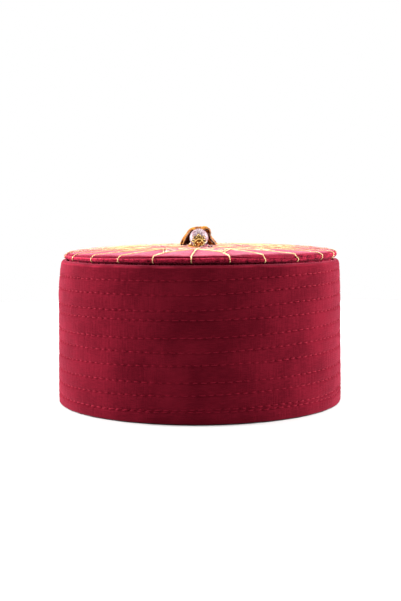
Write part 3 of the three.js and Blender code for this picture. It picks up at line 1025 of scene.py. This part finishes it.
gold_leaves = sew("gold_leaves", gold_threads, gold_thread, sides=5)
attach(gold_leaves, "root")
silver_thread = thread_finish("silver_thread", (0.88, 0.84, 0.76), (0.45, 0.4, 0.35), 0.35, 0.38)
silver_rosettes = sew("silver_rosettes", silver_threads, silver_thread, sides=5)
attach(silver_rosettes, "root")


# A dark green glass stone is glued in the middle of each silver rosette. It is round and polished,
# half as high as it is wide, and stands a little out of the petals' threads.
STONE_RADIUS = 1.15
STONE_HALF_HEIGHT = 0.55


def bead_tree():
    """Nodes that put one faceted or round bead on each point, as large as its "size" says."""
    tree, given = node_group("small_beads", {
        "Points": "Geometry", "Roundness": "Int", "Finish": "Material",
    }, "Beads")
    ball = add(tree, "GeometryNodeMeshIcoSphere", {"Radius": 1.0, "Subdivisions": given["Roundness"]})
    size = add(tree, "GeometryNodeInputNamedAttribute", {"Name": "size"}, data_type="FLOAT_VECTOR")
    laid = add(tree, "GeometryNodeInstanceOnPoints", {
        "Points": given["Points"], "Instance": ball, "Scale": size,
    })
    close_group(tree, laid, given["Finish"])
    return tree


beading = bead_tree()


def set_beads(name, places, sizes, finish, roundness=3):
    """A bead at each place, with its half sizes along X, Y and Z, in millimetres."""
    mesh = line_mesh(name, [[place] for place in places])
    flat = (np.asarray(sizes, float) * MM).ravel()
    mesh.attributes.new("size", "FLOAT_VECTOR", "POINT").data.foreach_set("vector", flat)
    return run_nodes(name, mesh, beading, {"Roundness": roundness, "Finish": finish})


green_glass, tree, surface = finish_of("green_glass", {
    "Roughness": 0.08, "Specular IOR Level": 0.6, "Coat Weight": 0.6,
})
green = between(tree, mottle(tree, on_piece(tree), 900), (0.004, 0.02, 0.012), (0.012, 0.07, 0.04))
dress(tree, surface, green)
stones = set_beads(
    "green_stones",
    [crown_skin(*centre, -0.05) for centre in rosettes],
    [(STONE_RADIUS, STONE_RADIUS, STONE_HALF_HEIGHT)] * len(rosettes),
    green_glass,
)
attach(stones, "root")


# The tassel is orange-gold silk. Its yarns spring from a bound neck behind the bead, arch over like
# a small tent that is open at the front, and lie on the crown. Those that lie in shade underneath are
# painted brown.
BEAD_RADIUS = 6.2
BEAD_CENTRE = (-0.15, -15, 110.75)
BEAD_TILT = 21              # degrees that the bead's axis points below level, to the front
NECK_FRONT = -6.5           # along the bead's axis, from its middle
NECK_LENGTH = 3.2
NECK_RADIUS = 2.7
LOCK_SHARES = [0, 0.35, 0.8, 1]
LOCK_WIDTHS = [0.5, 0.9, 1, 0.9]            # of its full width
LOCK_THICKNESSES = [2.24, 2.8, 2.8, 1.7]
LOCK_TIP_UP = 1.5
LOCK_SWEPT_BACK = 8         # how far the tips of the side locks lie back
# bearing from straight back, shoulder out and up, waist out and up, tip out, width
LOCKS = [
    (-95, 4.4, 10.7, 8.2, 6.1, 10.7, 5.4),
    (-68, 4.4, 11.4, 8.8, 6.9, 12.6, 6.2),
    (-38, 4.0, 11.8, 9.2, 7.2, 15.2, 6.4),
    (-8, 4.0, 12.2, 10.0, 7.6, 18.2, 6.6),
    (22, 4.4, 12.2, 9.4, 7.4, 16.4, 6.4),
    (52, 5.2, 12.3, 7.8, 6.6, 13.0, 6.0),
    (78, 5.2, 11.3, 5.8, 8.0, 8.6, 5.0),
    (84, 6.2, 11.4, 7.1, 5.9, 10.6, 5.0),
]
YARNS_OF_LOCK = 11
YARN_ASIDE = 0.86           # of the lock's half width,
YARN_OVER = 0.72            # and of its half thickness
FIBRES_OF_YARN = 8
FIBRE_TURNS = 2.6           # that a fibre makes round its yarn
FIBRE_RADIUS = 0.2
LINE_STEPS = 20
tilt = math.radians(90 + BEAD_TILT)
down_lock = np.linspace(0, 1, LINE_STEPS)


def in_head(x, y, z):
    """A place in the bead's own frame, whose Z runs along its axis and out at the front."""
    return np.array([
        BEAD_CENTRE[0] + x,
        BEAD_CENTRE[1] + y * math.cos(tilt) - z * math.sin(tilt),
        BEAD_CENTRE[2] + y * math.sin(tilt) + z * math.cos(tilt),
    ])


def round_axis(reach, swing, along):
    """A place this far out from the bead's axis, this far round it and this far along it."""
    return in_head(reach * math.cos(swing), reach * math.sin(swing), along)


def smooth_path(knots, count):
    """Evenly spaced points on a smooth curve through the knots."""
    knots = [np.asarray(knot, float) for knot in knots]
    knots = [2 * knots[0] - knots[1], *knots, 2 * knots[-1] - knots[-2]]
    fine = []
    for before, start, end, after in zip(knots, knots[1:], knots[2:], knots[3:]):
        gaps = [math.sqrt(np.linalg.norm(b - a)) for a, b in
                ((before, start), (start, end), (end, after))]
        leave = ((start - before) / gaps[0] - (end - before) / (gaps[0] + gaps[1])
                 + (end - start) / gaps[1]) * gaps[1]
        arrive = ((end - start) / gaps[1] - (after - start) / (gaps[1] + gaps[2])
                  + (after - end) / gaps[2]) * gaps[1]
        for t in np.linspace(0, 1, 24, endpoint=False):
            fine.append((2 * start - 2 * end + leave + arrive) * t ** 3
                        + (3 * end - 3 * start - 2 * leave - arrive) * t ** 2 + leave * t + start)
    fine = np.array([*fine, knots[-2]])
    run = np.concatenate([[0], np.cumsum(np.linalg.norm(np.diff(fine, axis=0), axis=1))])
    at = np.linspace(0, run[-1], count)
    return np.stack([np.interp(at, run, fine[:, axis]) for axis in range(3)], axis=-1)


def lock_frame(lock):
    """The middle line of a lock, the ways across and under it, and its half sizes those ways."""
    bearing, shoulder_out, shoulder_up, waist_out, waist_up, tip_out, width = lock
    out = np.array([math.sin(math.radians(bearing)), math.cos(math.radians(bearing)), 0])
    across = np.array([out[1], -out[0], 0])
    root = in_head(0, 0, NECK_FRONT - NECK_LENGTH + 1.2)
    knots = [root]
    back = LOCK_SWEPT_BACK * (1 - out[1])
    for distance, up, swept in (
        (shoulder_out, shoulder_up, 0.1), (waist_out, waist_up, 0.5), (tip_out, LOCK_TIP_UP, 1),
    ):
        place = root + distance * out + [0, swept * back, 0]
        floor = settled(place[0], crown_top(math.hypot(place[0] - CROWN_ASIDE, place[1])))
        knots.append(np.array([*place[:2], floor + up]))
    line = smooth_path(knots, LINE_STEPS)
    ahead = np.gradient(line, axis=0)
    ahead /= np.linalg.norm(ahead, axis=1, keepdims=True)
    half_width = 0.5 * width * np.interp(down_lock, LOCK_SHARES, LOCK_WIDTHS)
    half_depth = 0.5 * np.interp(down_lock, LOCK_SHARES, LOCK_THICKNESSES)
    return line, across, np.cross(ahead, across), half_width, half_depth


def lies_in_shade(bearing, depth, yarn):
    """Whether a yarn is painted brown as shade, by how deep it lies in its lock, from -1 on top to 1
    underneath.
    """
    shade_from = -0.1 if bearing < -60 else 0.4 if bearing < 40 else 1
    return depth > shade_from or abs(bearing) > 80 and yarn % 3 == 0


fibre_hand = random.Random(31)
fibres = []
inner_fibres = []
for lock in LOCKS:
    line, across, under, half_width, half_depth = lock_frame(lock)
    for yarn in range(YARNS_OF_LOCK):
        swing = math.tau * (yarn + fibre_hand.uniform(-0.2, 0.2)) / YARNS_OF_LOCK
        side = YARN_ASIDE * math.cos(swing)
        depth = YARN_OVER * math.sin(swing)
        sway = fibre_hand.uniform(-0.5, 0.5)
        longer = fibre_hand.uniform(-0.05, 0.04)
        for fibre in range(FIBRES_OF_YARN):
            phase = math.tau * (fibre / FIBRES_OF_YARN + fibre_hand.uniform(-0.05, 0.05))
            round_yarn = phase + math.tau * FIBRE_TURNS * down_lock
            reach = 0.34 + 0.1 * down_lock
            aside = side * half_width + sway * down_lock ** 2 + reach * np.cos(round_yarn)
            below = depth * half_depth + reach * np.sin(round_yarn)
            points = line + aside[:, None] * across + below[:, None] * under
            points[-1] += (line[-1] - line[-2]) * (longer + fibre_hand.uniform(-0.4, 0.4))
            points[-1, 2] -= 0.25
            (inner_fibres if lies_in_shade(lock[0], depth, yarn) else fibres).append(points)


def strand_tree():
    """Nodes that give each line of points a round body."""
    tree, given = node_group("silk_strands", {
        "Lines": "Geometry", "Strand radius": "Float", "Sides": "Int", "Finish": "Material",
    }, "Strands")
    line = add(tree, "GeometryNodeMeshToCurve", {"Mesh": given["Lines"]})
    close_group(tree, round_body(tree, line, given["Sides"], given["Strand radius"]), given["Finish"])
    return tree


stranding = strand_tree()


def lay_strands(name, lines, radius, finish, sides=4):
    """A round strand along each of these lines."""
    return run_nodes(name, line_mesh(name, lines), stranding, {
        "Strand radius": radius * MM, "Sides": sides, "Finish": finish,
    })


def silk_finish(name, deep, light):
    """Dyed silk: glossy and a little uneven, with fine hairs along the yarn."""
    material, tree, surface = finish_of(name, {
        "Roughness": 0.42,
        "Specular IOR Level": 0.2,
        "Sheen Weight": 0.03,
        "Sheen Roughness": 0.3,
        "Sheen Tint": (1, 0.75, 0.35, 1),
    })
    place = on_piece(tree)
    tone = between(tree, share_of(tree, mottle(tree, place, 420, 3), 0.35, 0.65), deep, light)
    dress(tree, surface, tone, relief(tree, mottle(tree, place, 2600, 1), 0.4, 0.06))
    return material


silk = silk_finish("orange_silk", (0.22, 0.045, 0.003), (0.78, 0.33, 0.025))
# The brown silk is painted shade, for the yarns and the core that lie in shade.
painted_shade_silk = silk_finish("silk_painted_shade", (0.045, 0.011, 0.003), (0.11, 0.028, 0.006))
pale_silk = silk_finish("pale_silk", (0.5, 0.36, 0.25), (0.75, 0.62, 0.5))

tassel_silk = lay_strands("tassel_silk", fibres, FIBRE_RADIUS, silk)
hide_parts("tassel_skirt")
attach(tassel_silk, "root")
inner_silk = lay_strands("inner_yarns", inner_fibres, FIBRE_RADIUS, painted_shade_silk)
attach(inner_silk, "root")

# A few pale hairs have come loose from the two locks at the right, and fall away from them.
LOOSE_HAIRS = 30
HAIR_REACH = 3.6
HAIR_RADIUS = 0.07
frayed = []
for hair in range(LOOSE_HAIRS):
    line, _, under, _, half_depth = lock_frame(LOCKS[-1 - hair % 2])
    first = fibre_hand.randint(5, 13)
    start = line[first] + half_depth[first] * under[first]
    away = [fibre_hand.uniform(*ends) for ends in ((0.6, 1.0), (-0.6, 0.4), (-0.3, 0.6))]
    fall = np.array([0, 0, fibre_hand.uniform(1.5, 4)])
    frayed.append([
        start + np.array(away) * (HAIR_REACH * t) - fall * t * t for t in np.linspace(0, 1, 7)
    ])
frayed_hairs = lay_strands("frayed_hairs", frayed, HAIR_RADIUS, pale_silk, sides=3)
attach(frayed_hairs, "root")

# The yarns lie over a core, so that no light comes through a lock. It is painted dark brown, as shade.
CORE_SIDES = 12
CORE_WIDTH = 0.8            # of the lock's own,
CORE_THICKNESS = 0.66       # and of its thickness
core_points, core_faces = [], []
for lock in LOCKS:
    line, across, under, half_width, half_depth = lock_frame(lock)
    base = len(core_points)
    for step in range(LINE_STEPS - 1):
        for swing in swings(CORE_SIDES):
            core_points.append(
                line[step] + CORE_WIDTH * half_width[step] * math.cos(swing) * across
                + CORE_THICKNESS * half_depth[step] * math.sin(swing) * under[step])
    for near in range(base, len(core_points) - CORE_SIDES, CORE_SIDES):
        far = near + CORE_SIDES
        for side in range(CORE_SIDES):
            ahead = (side + 1) % CORE_SIDES
            core_faces.append((near + side, near + ahead, far + ahead, far + side))
    core_faces.append(tuple(reversed(range(base, base + CORE_SIDES))))
    core_faces.append(tuple(range(len(core_points) - CORE_SIDES, len(core_points))))
core_mesh = bpy.data.meshes.new("tassel_core")
core_mesh.from_pydata([list(point * MM) for point in core_points], [], core_faces)
core_mesh.shade_smooth()
tassel_core = piece("tassel_core", core_mesh, painted_shade_silk)
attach(tassel_core, "root")


# The neck of the tassel is bound with the same silk. One strand winds round it eight times, from
# the roots of the locks forward to the bead, where it narrows a little.
WINDINGS = 8
WINDING_STEPS = 24
WINDING_RADIUS = 0.26
winding = []
for step in range(WINDINGS * WINDING_STEPS + 1):
    swing = math.tau * step / WINDING_STEPS
    along = step / (WINDINGS * WINDING_STEPS)
    girth = NECK_RADIUS - 0.25 - 0.5 * max(0, along - 0.6)
    back = NECK_FRONT - NECK_LENGTH + 0.2 + along * (NECK_LENGTH - 0.4)
    winding.append(round_axis(girth, swing, back))
neck_binding = lay_strands("neck_binding", [winding], WINDING_RADIUS, silk, sides=6)
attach(neck_binding, "root")


# The tassel hangs on a twisted silk cord. It comes out of the bead's gold cap, turns down to the
# crown, and runs back under the bead to the stitch in the crown's middle.
SILK_PLY = 0.26
THREADED_AT = (NECK_FRONT - NECK_LENGTH + 0.3, 0, BEAD_RADIUS, BEAD_RADIUS + 3.4)
LYING_AT = [
    (-1.0, -25.6), (-3.0, -25.6), (-5.0, -21.5), (-6.4, -16), (-7.2, -10), (-6.8, -4), (-4.2, -0.5),
    (-0.6, 0),
]
cord_knots = [in_head(0, 0, z) for z in THREADED_AT] + [crown_skin(x, y, 0.55) for x, y in LYING_AT]
cord_path = smooth_path(cord_knots, 120)
tassel_cord = lay_cord("silk_cord", [cord_path], silk, ply=SILK_PLY, twist=2.2, step=0.25, sides=8)
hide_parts("tassel_cord")
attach(tassel_cord, "root")


# The bead is pressed glass, milky white with pink and lilac crackle, and bored through for the
# cord. Three seed pearls of the same glass are sewn on beside the tassel.
BEAD_COLUMNS = 64
BEAD_ROWS = 44
BEAD_BORE = 0.8
bead_edge = math.asin(BEAD_BORE / BEAD_RADIUS)
bead_rows = []
for polar in np.linspace(math.pi - bead_edge, bead_edge, BEAD_ROWS):
    ring = []
    for swing in swings(BEAD_COLUMNS):
        dent = 0.05 * math.sin(3 * swing + 5 * polar) * math.sin(polar)
        reach = (BEAD_RADIUS + dent) * math.sin(polar)
        ring.append(round_axis(reach, swing, BEAD_RADIUS * math.cos(polar)))
    bead_rows.append(ring)
bead_mesh, _ = skin_mesh("glass_bead", bead_rows, closed=True)

MILK = (0.57, 0.51, 0.53)
PINK = (0.31, 0.18, 0.2)
CRACK = (0.16, 0.07, 0.1)
pearl_glass, tree, surface = finish_of("pearl_glass", {
    "Roughness": 0.4,
    "Specular IOR Level": 0.14,
    "Coat Weight": 0.05,
    "Coat Roughness": 0.04,
})
place = on_piece(tree)
bent = add(tree, "ShaderNodeTexNoise", {"Vector": place, "Scale": 500, "Detail": 2})
pushed = add(tree, "ShaderNodeVectorMath", {
    0: bent.outputs["Color"], 1: (0.0014, 0.0014, 0.0014),
}, operation="MULTIPLY")
shaken = add(tree, "ShaderNodeVectorMath", {0: place, 1: pushed}, operation="ADD")
crackle = add(tree, "ShaderNodeTexVoronoi", {
    "Vector": shaken, "Scale": 620,
}, feature="DISTANCE_TO_EDGE")
clouds = between(tree, share_of(tree, mottle(tree, place, 330), 0.35, 0.68), MILK, PINK)
whole_glass = share_of(tree, crackle.outputs["Distance"], 0.03, 0.22)
dress(tree, surface, between(tree, whole_glass, CRACK, clouds))
glass_bead = piece("glass_bead", bead_mesh, pearl_glass)
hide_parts("tassel_bead")
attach(glass_bead, "root")

pearls = set_beads(
    "seed_pearls",
    [crown_skin(1.4, -27.2, 0.55), crown_skin(6.6, -20.5, 0.6), crown_skin(8.3, -19.2, 0.6)],
    [(0.55, 0.55, 0.55), (0.85, 0.85, 0.75), (0.8, 0.8, 0.7)],
    pearl_glass,
)
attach(pearls, "root")


# The cap on the bead is gilt filigree: eight petals of twisted wire over the glass, a grain at each
# tip, a cup with a grained rim in their middle, and a small gilt bead in the cup that holds the cord.
PETALS = 8
PETAL_REACH = 4.5
PETAL_HALF_WIDTH = 1.35
PETAL_STEPS = 28
RING_RADIUS = 1.9
CUP_SEAT = 3.0
RING_STEPS = 40
CUP_RADIUS = 2.7
OVER_GLASS = BEAD_RADIUS + 0.6


def on_glass(reach, swing, lift=0.0):
    """A place just over the bead, at this distance from its axis."""
    height = math.sqrt(OVER_GLASS ** 2 - reach ** 2)
    grow = 1 + lift / OVER_GLASS
    return round_axis(grow * reach, swing, grow * height)


gilt, tree, surface = finish_of("gilt_metal", {
    "Metallic": 0.75, "Roughness": 0.25, "Specular IOR Level": 0.5,
})
tarnish = mottle(tree, on_piece(tree), 700, 3)
dress(tree, surface, between(tree, tarnish, (0.3, 0.13, 0.018), (1.0, 0.8, 0.28)))

wires = []
for petal_swing in swings(PETALS):
    loop = []
    for swing in swings(PETAL_STEPS, closing=1):
        reach = (PETAL_REACH + RING_RADIUS) / 2 - (PETAL_REACH - RING_RADIUS) / 2 * math.cos(swing)
        loop.append(on_glass(reach, petal_swing + PETAL_HALF_WIDTH * math.sin(swing) / reach))
    wires.append(loop)
for reach in (RING_RADIUS, CUP_SEAT):
    wires.append([on_glass(reach, swing, 0.1) for swing in swings(RING_STEPS, closing=1)])
cap_wires = lay_cord("cap_petals", wires, gilt, ply=0.15, twist=0.9, step=0.13, sides=5)
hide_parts("bead_cap")
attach(cap_wires, "root")

# Behind the wires lies a thin scalloped plate, painted dark brown as the shade in their hollows.
BACKING_STEPS = 64
BACKING_HOLE = 0.8
BACKING_EDGE = 3.2          # between two petals,
BACKING_SCALLOP = 1.1       # and this much more under each
# share of the way out from the hole to the scalloped edge, and how far under the wires
BACKING = [
    (0, 0.15), (0.3, 0.15), (0.6, 0.15), (0.85, 0.15), (1, 0.2), (1, 0.4), (0.6, 0.4), (0, 0.4),
]
backing_rows = []
for out, below in BACKING:
    ring = []
    for swing in swings(BACKING_STEPS):
        edge = BACKING_EDGE + BACKING_SCALLOP * math.cos(PETALS * swing / 2) ** 2
        ring.append(on_glass(BACKING_HOLE + out * (edge - BACKING_HOLE), swing, -below))
    backing_rows.append(ring)
backing_mesh, _ = skin_mesh("cap_shade_plate", backing_rows, closed=True)
hollow_shade_paint, _, _ = finish_of("painted_shade_under_wires", {
    "Base Color": (0.03, 0.011, 0.003, 1), "Metallic": 0.3, "Roughness": 0.55,
})
cap_shade_plate = piece("cap_shade_plate", backing_mesh, hollow_shade_paint)
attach(cap_shade_plate, "root")

# Round grains sit on each petal and between the petals, and on the cup's rim.
PETAL_GRAINS = [(PETAL_REACH + 0.25, 0, 0.32), (3.4, 0, 0.34), (3.7, 0.5, 0.28)]
RIM_GRAINS = 18
RIM_GRAIN = 0.3
RIM_HEIGHT = 8.4
grains, grain_sizes = [], []
for petal in range(PETALS):
    for reach, petals_on, radius in PETAL_GRAINS:
        grains.append(on_glass(reach, math.tau * (petal + petals_on) / PETALS, 0.1))
        grain_sizes.append((radius, radius, radius))
for swing in swings(RIM_GRAINS):
    grains.append(round_axis(CUP_RADIUS, swing, RIM_HEIGHT))
    grain_sizes.append((RIM_GRAIN, RIM_GRAIN, RIM_GRAIN))
cap_grains = set_beads("cap_grains", grains, grain_sizes, gilt, roundness=2)
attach(cap_grains, "root")

# The cup and the small bead are turned shapes: radius, and height along the axis, round the section.
TURNED_SIDES = 40
CUP = [
    (0.8, 6.5), (1.7, 6.5), (2.3, 6.7), (2.68, 7.1), (2.76, 7.6), (2.74, 8.3), (2.6, 8.42),
    (2.45, 8.3), (2.4, 7.8), (2.1, 7.55), (1.2, 7.5), (0.8, 7.5),
]
SMALL_BEAD = [
    (0.6, 7.45), (0.95, 7.55), (1.2, 7.85), (1.3, 8.3), (1.2, 8.7), (0.95, 8.98), (0.62, 9.1),
    (0.55, 8.9),
]
for name, profile in (("cap_cup", CUP), ("cap_bead", SMALL_BEAD)):
    turned_rows = [
        [round_axis(radius, swing, height) for swing in swings(TURNED_SIDES)]
        for radius, height in profile
    ]
    turned_mesh, _ = skin_mesh(name, turned_rows, closed=True)
    turned_piece = piece(name, turned_mesh, gilt)
    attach(turned_piece, "root")
